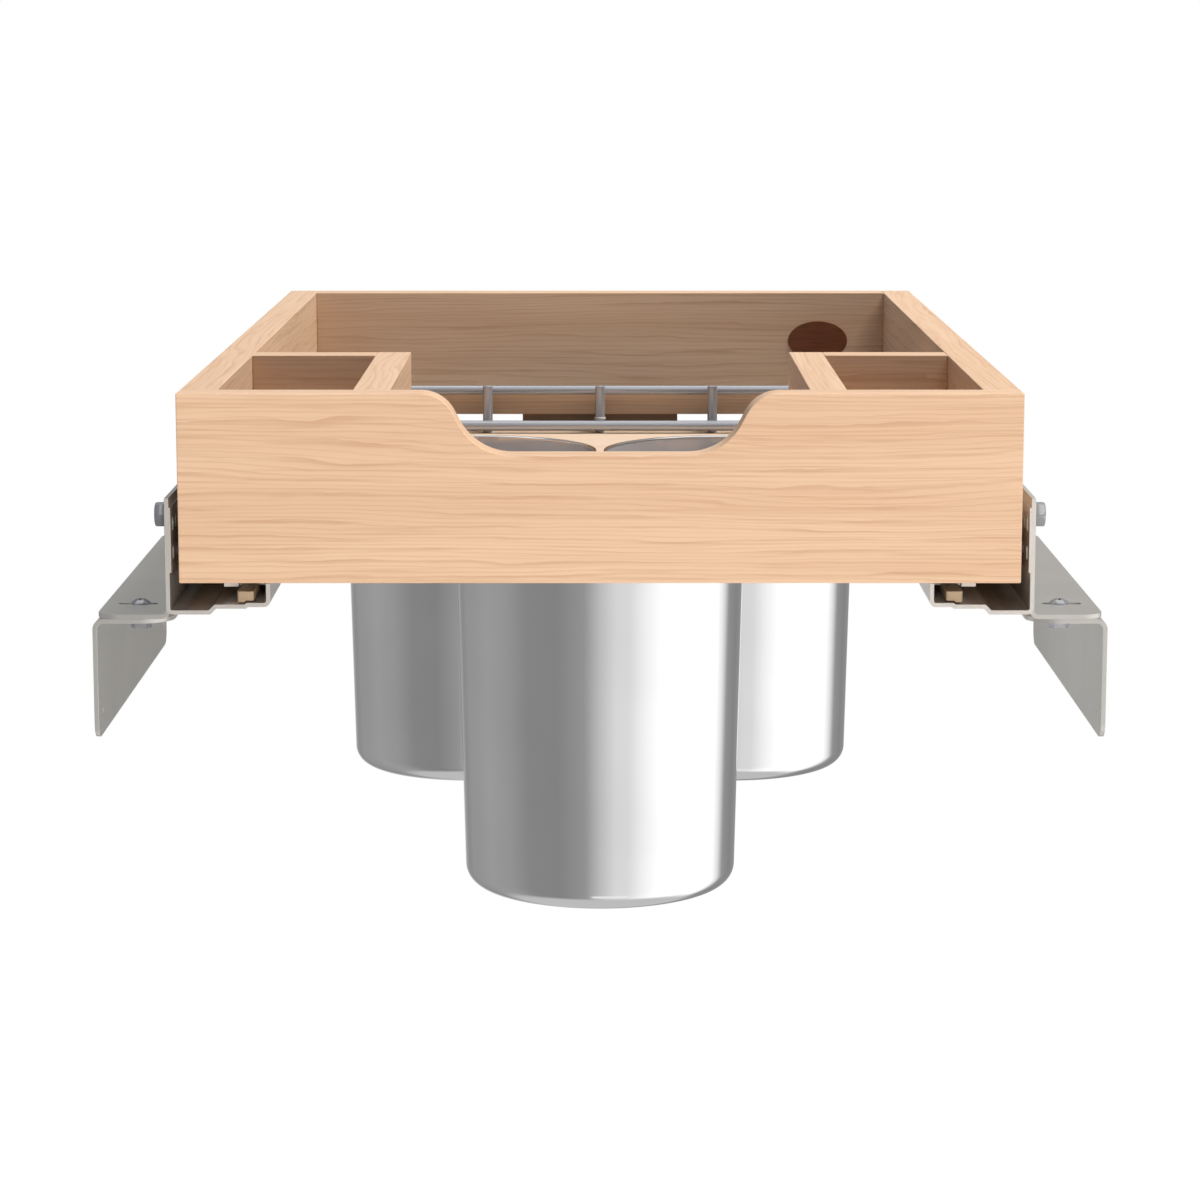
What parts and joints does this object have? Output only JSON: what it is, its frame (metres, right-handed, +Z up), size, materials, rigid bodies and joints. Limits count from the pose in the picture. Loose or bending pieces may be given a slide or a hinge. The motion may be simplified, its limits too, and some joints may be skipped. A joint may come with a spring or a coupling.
{
  "type": "utensil pull-out organizer",
  "caption": "Shallow maple pull-out drawer with a finger scoop, side compartments, stainless canisters hung in a holed shelf, a chrome gallery rail, concealed slides and wall brackets.",
  "frame": {"origin": "middle between the two bracket flanges that meet the cabinet walls: half-way across the width, at the middle of the brackets' length and of the flanges' height", "axes": "+X to the right seen from the front, +Y into the cabinet, +Z up; the drawer pulls out along -Y"},
  "size_m": [0.438, 0.5606, 0.2354],
  "materials": {
    "maple": "clear satin lacquer over light maple",
    "plywood": "clear satin lacquer over maple veneer",
    "dowel_wood": "raw beech",
    "brown_disc": "satin brown, plain",
    "chrome_wire": "bright chrome plate",
    "stainless": "polished stainless steel",
    "zinc_steel": "satin zinc plate",
    "bracket_steel": "satin nickel-grey coat",
    "bright_fasteners": "bright zinc plate",
    "white_plastic": "moulded, satin",
    "grey_plastic": "moulded, fine texture",
    "almond_nylon": "moulded nylon, satin"
  },
  "bodies": {
    "cabinet_side": {"left_cabinet_channel": "zinc_steel", "right_cabinet_channel": "zinc_steel", "left_upper_bracket": "bracket_steel", "right_upper_bracket": "bracket_steel", "left_lower_bracket": "bracket_steel", "right_lower_bracket": "bracket_steel", "channel_bolts": "bright_fasteners", "channel_nuts": "bright_fasteners", "channel_screws": "bright_fasteners", "bracket_screws": "bright_fasteners", "bracket_nuts": "bright_fasteners", "left_soft_close_unit": "grey_plastic", "right_soft_close_unit": "grey_plastic"},
    "drawer": {"front_panel": "maple", "left_side_panel": "maple", "right_side_panel": "maple", "back_panel": "maple", "left_divider": "maple", "right_divider": "maple", "left_cross_board": "maple", "right_cross_board": "maple", "rear_cross_strip": "maple", "strip_support_block": "maple", "canister_shelf": "plywood", "oval_badge": "brown_disc", "box_dowels": "dowel_wood", "gallery_top_rail": "chrome_wire", "gallery_lower_rail": "chrome_wire", "gallery_posts": "chrome_wire", "post_collars": "white_plastic", "left_drawer_runner": "zinc_steel", "right_drawer_runner": "zinc_steel", "left_locking_device": "white_plastic", "right_locking_device": "white_plastic", "locking_device_screws": "bright_fasteners"},
    "left_middle": {"left_middle_rail": "zinc_steel", "left_rollers": "white_plastic", "left_roller_cages": "grey_plastic", "left_rail_bumper": "almond_nylon"},
    "right_middle": {"right_middle_rail": "zinc_steel", "right_rollers": "white_plastic", "right_roller_cages": "grey_plastic", "right_rail_bumper": "almond_nylon"},
    "front_canister": {"front_canister": "stainless"},
    "left_canister": {"left_canister": "stainless"},
    "right_canister": {"right_canister": "stainless"},
    "left_release_lever": {"left_release_lever": "grey_plastic"},
    "right_release_lever": {"right_release_lever": "grey_plastic"}
  },
  "joints": [
    {"name": "drawer_travel", "type": "slide", "parent": "cabinet_side", "child": "drawer", "axis": [0, -1, 0], "range_m": [0, 0.533]},
    {"name": "left_middle_travel", "type": "slide", "parent": "cabinet_side", "child": "left_middle", "axis": [0, -1, 0], "range_m": [0, 0.2665]},
    {"name": "right_middle_travel", "type": "slide", "parent": "cabinet_side", "child": "right_middle", "axis": [0, -1, 0], "range_m": [0, 0.2665]},
    {"name": "front_canister_lift", "type": "slide", "parent": "drawer", "child": "front_canister", "axis": [0, 0, 1], "range_m": [0, 0.24]},
    {"name": "left_canister_lift", "type": "slide", "parent": "drawer", "child": "left_canister", "axis": [0, 0, 1], "range_m": [0, 0.24]},
    {"name": "right_canister_lift", "type": "slide", "parent": "drawer", "child": "right_canister", "axis": [0, 0, 1], "range_m": [0, 0.24]},
    {"name": "left_lever_turn", "type": "hinge", "parent": "drawer", "child": "left_release_lever", "pos_m": [-0.136, -0.0966, 0.0465], "axis": [0, 0, -1], "range_deg": [0, 12], "stiffness_Nm_per_rad": 0.3},
    {"name": "right_lever_turn", "type": "hinge", "parent": "drawer", "child": "right_release_lever", "pos_m": [0.136, -0.0966, 0.0465], "axis": [0, 0, 1], "range_deg": [0, 12], "stiffness_Nm_per_rad": 0.3}
  ],
  "couplings": [
    {"joint": "left_middle_travel", "follows": "drawer_travel", "ratio": 0.5},
    {"joint": "right_middle_travel", "follows": "drawer_travel", "ratio": 0.5}
  ]
}
